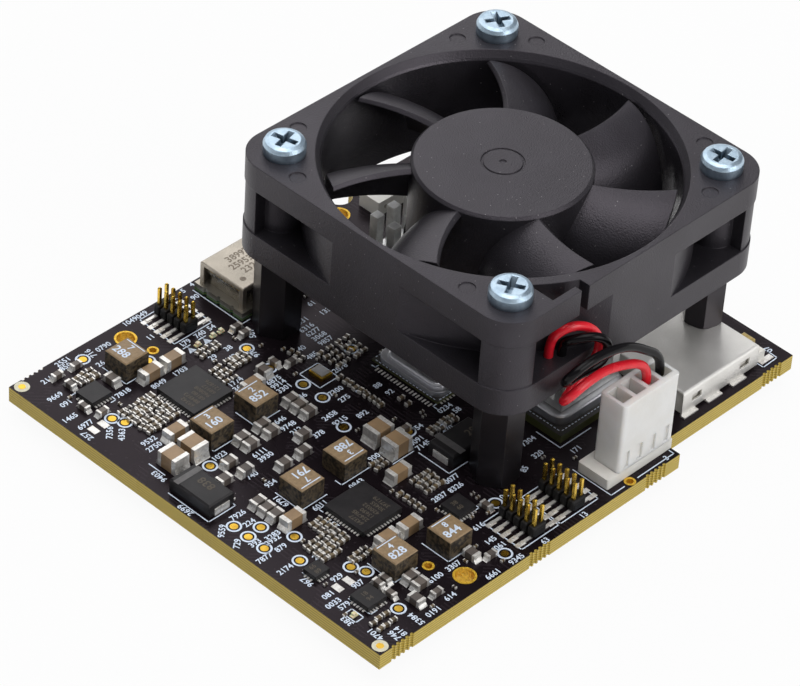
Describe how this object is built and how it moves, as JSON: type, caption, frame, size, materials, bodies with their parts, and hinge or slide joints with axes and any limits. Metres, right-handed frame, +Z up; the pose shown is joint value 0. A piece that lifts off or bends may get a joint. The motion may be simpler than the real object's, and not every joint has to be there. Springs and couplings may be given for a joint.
{
  "type": "rf evaluation board",
  "caption": "Radio evaluation circuit board with a square cooling fan on hexagonal standoffs, pin-fin heatsinks, a shield can, an oscillator module and fine-pitch pin headers.",
  "frame": {"origin": "middle of the board's outline, level with the underside of the screw heads that it rests on", "axes": "+Z up from the board through the fan, +X along the long front edge from the end without the fan towards the fan, +Y from the front edge with the fan connector to the back edge"},
  "size_m": [0.0818, 0.068, 0.0356],
  "materials": {
    "solder_mask": "glossy",
    "plating_gold": "polished",
    "fan_plastic": "satin",
    "magnet": "matte",
    "steel": "satin",
    "sintered_bronze": "matte",
    "green_laminate": "glossy",
    "copper_winding": "glossy",
    "zinc_plate": "satin",
    "standoff_nylon": "satin",
    "lid_nickel": "satin",
    "thermal_pad": "matte",
    "heatsink_aluminium": "satin",
    "can_nickel": "satin",
    "cream_plastic": "satin",
    "housing_nylon": "satin",
    "tin_plate": "satin",
    "red_insulation": "glossy",
    "black_insulation": "glossy",
    "strip_plastic": "satin",
    "oscillator_board": "matte",
    "ferrite_brown": "matte",
    "tan_ceramic": "satin",
    "grey_ceramic": "satin",
    "dark_ceramic": "satin",
    "chip_epoxy": "matte",
    "lamp_resin": "glossy"
  },
  "bodies": {
    "board": {"circuit_board": "solder_mask", "plated_hole_liners": "plating_gold", "fan_frame": "fan_plastic", "fan_bearing": "sintered_bronze", "fan_motor_board": "green_laminate", "fan_stator_core": "steel", "fan_stator_coils": "copper_winding", "fan_screws": "zinc_plate", "long_standoffs": "standoff_nylon", "short_standoff": "standoff_nylon", "board_screws": "zinc_plate", "long_board_screw": "zinc_plate", "transceiver_package": "green_laminate", "transceiver_lid": "lid_nickel", "shield_can": "can_nickel", "shield_insulator": "cream_plastic", "edge_contact": "plating_gold", "fan_header": "cream_plastic", "fan_header_pins": "tin_plate", "crimp_housing": "housing_nylon", "crimp_contacts": "tin_plate", "red_wire": "red_insulation", "black_wire": "black_insulation", "oscillator_substrate": "green_laminate", "oscillator_core": "oscillator_board", "oscillator_contacts": "plating_gold", "oscillator_cover": "can_nickel", "power_inductors": "ferrite_brown", "tan_capacitor_bodies": "tan_ceramic", "grey_capacitor_bodies": "grey_ceramic", "capacitor_ends": "tin_plate", "tiny_part_bodies": "dark_ceramic", "tiny_part_ends": "tin_plate", "large_flat_chips": "chip_epoxy", "small_flat_chips": "chip_epoxy", "flat_chip_contacts": "tin_plate", "tantalum_bodies": "chip_epoxy", "tantalum_tabs": "tin_plate", "lamps": "lamp_resin", "crystal_case": "plating_gold", "crystal_lid": "can_nickel", "edge_block": "cream_plastic", "front_processor_substrate": "green_laminate", "front_processor_lid": "lid_nickel", "front_thermal_pad": "thermal_pad", "front_heatsink": "heatsink_aluminium", "back_processor_substrate": "green_laminate", "back_processor_lid": "lid_nickel", "back_thermal_pad": "thermal_pad", "back_heatsink": "heatsink_aluminium", "front_left_strip_body": "strip_plastic", "front_left_strip_pins": "plating_gold", "front_right_strip_body": "strip_plastic", "front_right_strip_pins": "plating_gold", "back_strip_body": "strip_plastic", "back_strip_pins": "plating_gold"},
    "rotor": {"fan_rotor": "fan_plastic", "fan_magnet_ring": "magnet", "fan_shaft": "steel"}
  },
  "joints": [
    {"name": "fan_spin", "type": "hinge", "parent": "board", "child": "rotor", "pos_m": [0.0139, -0.00025, 0.0335], "axis": [0, 0, 1], "continuous": true}
  ]
}
